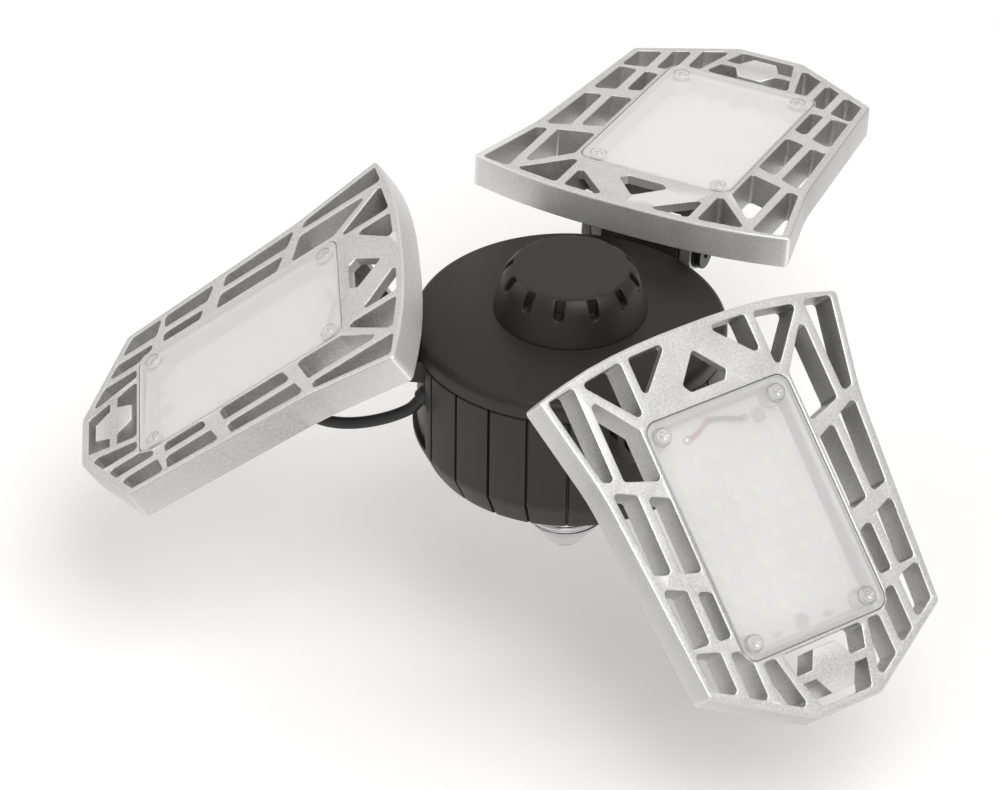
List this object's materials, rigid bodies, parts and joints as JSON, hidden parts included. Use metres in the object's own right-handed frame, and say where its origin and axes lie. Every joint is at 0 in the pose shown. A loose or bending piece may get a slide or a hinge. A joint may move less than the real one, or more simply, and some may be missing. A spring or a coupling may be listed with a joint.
{
  "type": "folding garage light",
  "caption": "Screw-in ceiling light: round black hub with a ribbed side and a notched centre cap, and hinged cast lattice panels of LEDs that fold down and stay where they are put.",
  "frame": {"origin": "centre of the end contact's face, at the foot of the lamp cap", "axes": "+Z along the hub's centreline from the lamp cap to the lit side; the left panel's hinge lies along -X from the centreline, and the other hinges 120 degrees on from it each way"},
  "size_m": [0.2741, 0.2956, 0.122],
  "materials": {
    "body_plastic": "smooth semi-gloss black moulding",
    "gland_plastic": "black nylon",
    "lead_sheath": "black flexible sheath",
    "cast_aluminium": "bare die casting, fine grain",
    "lens_plastic": "clear flat cover",
    "gasket_rubber": "pale silicone",
    "white_board": "aluminium board with white solder mask",
    "led_yellow": "pale yellow phosphor",
    "wire": "insulated hook-up wire",
    "screw_steel": "plated steel",
    "bolt_black": "black oxide steel",
    "cap_metal": "bright nickel plate",
    "cap_insulator": "pale insulator",
    "contact_brass": "tinned brass",
    "circuit_board": "green glass-fibre board",
    "transformer_tape": "yellow tape",
    "capacitor_sleeve": "dark sleeve",
    "choke_winding": "enamelled copper"
  },
  "bodies": {
    "hub": {"upper_body": "body_plastic", "top_cover": "body_plastic", "centre_cap": "body_plastic", "lower_body": "body_plastic", "body_screws": "screw_steel", "lead_inlets": "gland_plastic", "lampcap_shell": "cap_metal", "lampcap_insulator": "cap_insulator", "lampcap_contact": "contact_brass", "supply_wires": "wire", "driver_board": "circuit_board", "driver_transformer": "transformer_tape", "driver_capacitors": "capacitor_sleeve", "driver_choke": "choke_winding", "front_lead": "lead_sheath", "rear_lead": "lead_sheath", "left_lead": "lead_sheath"},
    "front_panel": {"front_panel_casting": "cast_aluminium", "front_lens": "lens_plastic", "front_lens_gasket": "gasket_rubber", "front_led_board": "white_board", "front_leds": "led_yellow", "front_board_wires": "wire", "front_lens_screws": "screw_steel", "front_board_screws": "screw_steel", "front_hinge_bolt": "bolt_black", "front_hinge_nut": "screw_steel", "front_hinge_washers": "screw_steel", "front_gland": "gland_plastic"},
    "rear_panel": {"rear_panel_casting": "cast_aluminium", "rear_lens": "lens_plastic", "rear_lens_gasket": "gasket_rubber", "rear_led_board": "white_board", "rear_leds": "led_yellow", "rear_board_wires": "wire", "rear_lens_screws": "screw_steel", "rear_board_screws": "screw_steel", "rear_hinge_bolt": "bolt_black", "rear_hinge_nut": "screw_steel", "rear_hinge_washers": "screw_steel", "rear_gland": "gland_plastic"},
    "left_panel": {"left_panel_casting": "cast_aluminium", "left_lens": "lens_plastic", "left_lens_gasket": "gasket_rubber", "left_led_board": "white_board", "left_leds": "led_yellow", "left_board_wires": "wire", "left_lens_screws": "screw_steel", "left_board_screws": "screw_steel", "left_hinge_bolt": "bolt_black", "left_hinge_nut": "screw_steel", "left_hinge_washers": "screw_steel", "left_gland": "gland_plastic"}
  },
  "joints": [
    {"name": "front_panel_hinge", "type": "hinge", "parent": "hub", "child": "front_panel", "pos_m": [0.03135, -0.0543, 0.086], "axis": [0.866, 0.5, 0], "range_deg": [-43, 47], "deforming": ["front_lead"]},
    {"name": "rear_panel_hinge", "type": "hinge", "parent": "hub", "child": "rear_panel", "pos_m": [0.03135, 0.0543, 0.086], "axis": [-0.866, 0.5, 0], "range_deg": [-5, 85], "deforming": ["rear_lead"]},
    {"name": "left_panel_hinge", "type": "hinge", "parent": "hub", "child": "left_panel", "pos_m": [-0.0627, 0, 0.086], "axis": [0, -1, 0], "range_deg": [-35, 55], "deforming": ["left_lead"]}
  ]
}
